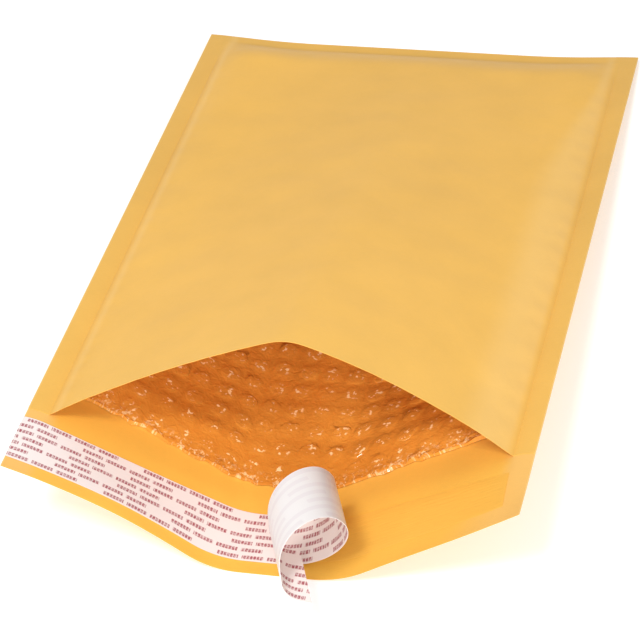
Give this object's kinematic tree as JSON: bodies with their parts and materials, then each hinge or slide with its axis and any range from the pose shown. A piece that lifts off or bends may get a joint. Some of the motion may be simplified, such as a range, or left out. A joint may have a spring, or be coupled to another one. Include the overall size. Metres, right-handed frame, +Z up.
{
  "type": "padded envelope",
  "caption": "Kraft paper mailing envelope with a bubble-film lining, lying with its mouth propped open and its flap's release liner half peeled off and curled.",
  "frame": {"origin": "on the surface the envelope lies on, under the middle of the whole part's box", "axes": "+Y along the envelope from the flap to the closed end, +X across its width, +Z up through the front panel; the flap and the open mouth face -Y"},
  "size_m": [0.2158, 0.398, 0.0764],
  "materials": {
    "kraft_paper": "golden kraft, matt with a faint calendered sheen",
    "bubble_film": "clear bubble film over kraft, glossy",
    "adhesive": "clear pressure-sensitive adhesive, satin",
    "liner_paper": "white siliconised paper, printed with red dashes on its face"
  },
  "bodies": {
    "root": {"kraft_envelope": "kraft_paper", "bubble_lining": "bubble_film", "adhesive_strip": "adhesive", "release_liner": "liner_paper"}
  },
  "joints": []
}
